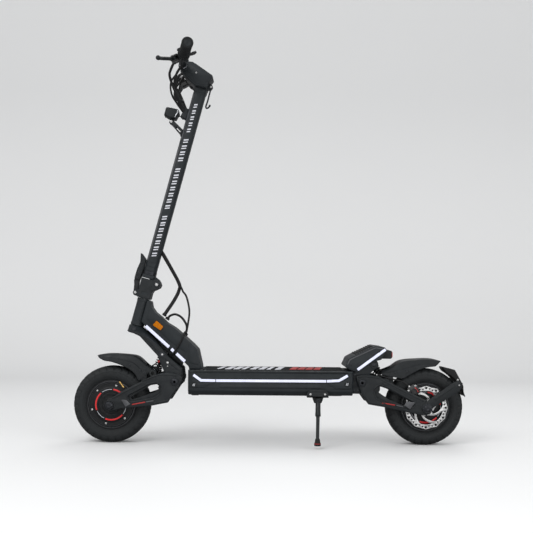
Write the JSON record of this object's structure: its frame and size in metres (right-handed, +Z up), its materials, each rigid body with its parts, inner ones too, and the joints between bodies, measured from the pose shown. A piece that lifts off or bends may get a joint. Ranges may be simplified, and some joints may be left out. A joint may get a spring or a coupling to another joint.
{
  "type": "electric kick scooter",
  "caption": "Folding electric kick scooter with a long light-edged deck, raked stem, sprung swingarms, hub-motor wheels on fat tyres, fenders, disc brakes and a rear footrest.",
  "frame": {"origin": "on the ground plane, at the middle of the overall length and width", "axes": "+Z up, the scooter faces -X, its left side is -Y"},
  "size_m": [1.262, 0.61, 1.2407],
  "materials": {
    "frame_black": "satin powder coat",
    "cast_charcoal": "satin powder coat",
    "plastic_black": "matte moulded",
    "tyre_rubber": "matte",
    "soft_rubber": "matte",
    "mat_rubber": "grip pattern",
    "light_strip": "frosted white",
    "amber": "faceted reflector",
    "red_lens": "clear red",
    "clear_lens": "clear",
    "steel": "brushed",
    "alu": "satin",
    "display": "gloss",
    "battery": "shrink wrap"
  },
  "bodies": {
    "chassis": {"deck_shell": "cast_charcoal", "deck_lid": "frame_black", "deck_screws": "steel", "deck_mat": "mat_rubber", "side_led_strips": "light_strip", "battery_and_controllers": "battery", "neck_frame": "cast_charcoal", "side_reflectors": "amber", "headset_bearings": "steel", "rear_pivot_block": "frame_black", "rear_pins": "steel", "rear_footrest": "cast_charcoal", "tail_light_lens": "red_lens", "stand_bracket": "frame_black", "neck_cable_loops": "soft_rubber"},
    "fork": {"fork_yoke": "cast_charcoal", "hinge_base": "cast_charcoal", "fork_pins": "steel"},
    "stem": {"stem_tube": "frame_black", "stem_head": "cast_charcoal", "display_unit": "display", "handlebar": "frame_black", "handlebar_grips": "soft_rubber", "brake_master_cylinders": "frame_black", "bar_control_housings": "plastic_black", "headlight_bracket": "frame_black", "brake_hoses": "soft_rubber", "stem_cable_sleeve": "soft_rubber"},
    "latch": {"latch_lever": "frame_black"},
    "front_arm": {"front_swingarm": "cast_charcoal", "front_axle": "steel", "front_caliper": "frame_black", "front_fender": "plastic_black"},
    "front_wheel": {"front_tyre": "tyre_rubber", "front_hub_motor": "frame_black", "front_brake_disc": "steel"},
    "front_damper": {"front_shock_body": "alu", "front_spring": "steel"},
    "front_damper_rod": {"front_shock_rod": "alu"},
    "rear_arm": {"rear_swingarm": "cast_charcoal", "rear_axle": "steel", "rear_caliper": "frame_black", "rear_fender": "plastic_black", "mudflap_struts": "frame_black", "rear_mudflap": "soft_rubber"},
    "rear_wheel": {"rear_tyre": "tyre_rubber", "rear_hub_motor": "frame_black", "rear_brake_disc": "steel"},
    "rear_damper": {"rear_shock_body": "alu", "rear_spring": "steel"},
    "rear_damper_rod": {"rear_shock_rod": "alu"},
    "side_stand": {"stand_leg": "frame_black"},
    "left_brake_lever": {"brake_lever_left": "frame_black"},
    "right_brake_lever": {"brake_lever_right": "frame_black"},
    "throttle": {"throttle_lever": "plastic_black"},
    "light_switch": {"light_button": "plastic_black"},
    "horn_switch": {"horn_button": "plastic_black"},
    "headlight": {"headlight_housing": "plastic_black", "headlight_lens": "clear_lens"},
    "hook": {"fold_hook": "steel"}
  },
  "joints": [
    {"name": "steering", "type": "hinge", "parent": "chassis", "child": "fork", "pos_m": [-0.41876, 0, 0.42337], "axis": [0.2588, 0, 0.9659], "range_deg": [-35, 35], "deforming": ["neck_cable_loops"]},
    {"name": "stem_fold", "type": "hinge", "parent": "fork", "child": "stem", "pos_m": [-0.36518, 0, 0.51285], "axis": [0, 1, 0], "range_deg": [0, 88], "deforming": ["stem_cable_sleeve"]},
    {"name": "latch_swing", "type": "hinge", "parent": "fork", "child": "latch", "pos_m": [-0.43578, 0, 0.48736], "axis": [0, -1, 0], "range_deg": [0, 75]},
    {"name": "front_swing", "type": "hinge", "parent": "fork", "child": "front_arm", "pos_m": [-0.2996, 0, 0.2017], "axis": [0, 1, 0], "range_deg": [0, 10]},
    {"name": "front_wheel_spin", "type": "hinge", "parent": "front_arm", "child": "front_wheel", "pos_m": [-0.507, 0, 0.124], "axis": [0, 1, 0], "continuous": true},
    {"name": "front_damper_tilt", "type": "hinge", "parent": "fork", "child": "front_damper", "pos_m": [-0.341, 0, 0.288], "axis": [0, 1, 0], "range_deg": [-0.199, 0.02]},
    {"name": "front_damper_stroke", "type": "slide", "parent": "front_damper", "child": "front_damper_rod", "axis": [0.4229, 0, 0.9062], "range_m": [0, 0.01304], "deforming": ["front_spring"]},
    {"name": "rear_swing", "type": "hinge", "parent": "chassis", "child": "rear_arm", "pos_m": [0.2995, 0, 0.2034], "axis": [0, -1, 0], "range_deg": [0, 10]},
    {"name": "rear_wheel_spin", "type": "hinge", "parent": "rear_arm", "child": "rear_wheel", "pos_m": [0.507, 0, 0.124], "axis": [0, 1, 0], "continuous": true},
    {"name": "rear_damper_tilt", "type": "hinge", "parent": "chassis", "child": "rear_damper", "pos_m": [0.338, 0, 0.262], "axis": [0, 1, 0], "range_deg": [-6, 0.02]},
    {"name": "rear_damper_stroke", "type": "slide", "parent": "rear_damper", "child": "rear_damper_rod", "axis": [-0.5488, 0, 0.836], "range_m": [0, 0.01156], "deforming": ["rear_spring"]},
    {"name": "stand_swing", "type": "hinge", "parent": "chassis", "child": "side_stand", "pos_m": [0.1575, -0.0925, 0.148], "axis": [0, -1, 0], "range_deg": [0, 85]},
    {"name": "left_lever_pull", "type": "hinge", "parent": "stem", "child": "left_brake_lever", "pos_m": [-0.2989, -0.15937, 1.20716], "axis": [-0.3728, -0.0986, 0.9227], "range_deg": [0, 20]},
    {"name": "right_lever_pull", "type": "hinge", "parent": "stem", "child": "right_brake_lever", "pos_m": [-0.2989, 0.15937, 1.20716], "axis": [0.3728, -0.0986, -0.9227], "range_deg": [0, 20]},
    {"name": "throttle_press", "type": "hinge", "parent": "stem", "child": "throttle", "pos_m": [-0.26757, -0.1776, 1.21787], "axis": [-0.1734, 0.9842, 0.0352], "range_deg": [0, 35]},
    {"name": "light_button_press", "type": "slide", "parent": "stem", "child": "light_switch", "axis": [-0.9116, 0.1469, -0.384], "range_m": [0, 0.0015]},
    {"name": "horn_button_press", "type": "slide", "parent": "stem", "child": "horn_switch", "axis": [-0.9116, 0.1469, -0.384], "range_m": [0, 0.0015]},
    {"name": "headlight_tilt", "type": "hinge", "parent": "stem", "child": "headlight", "pos_m": [-0.32366, 0, 1.04452], "axis": [0, 1, 0], "range_deg": [-12, 12]},
    {"name": "hook_swing", "type": "hinge", "parent": "stem", "child": "hook", "pos_m": [-0.19555, 0, 1.15907], "axis": [0, -1, 0], "range_deg": [0, 50]}
  ],
  "couplings": [
    {"joint": "front_damper_tilt", "follows": "front_swing", "ratio": -0.017918},
    {"joint": "front_damper_stroke", "follows": "front_swing", "m_per_rad": 0.074114},
    {"joint": "rear_damper_tilt", "follows": "rear_swing", "ratio": -0.5979},
    {"joint": "rear_damper_stroke", "follows": "rear_swing", "m_per_rad": 0.065666}
  ]
}
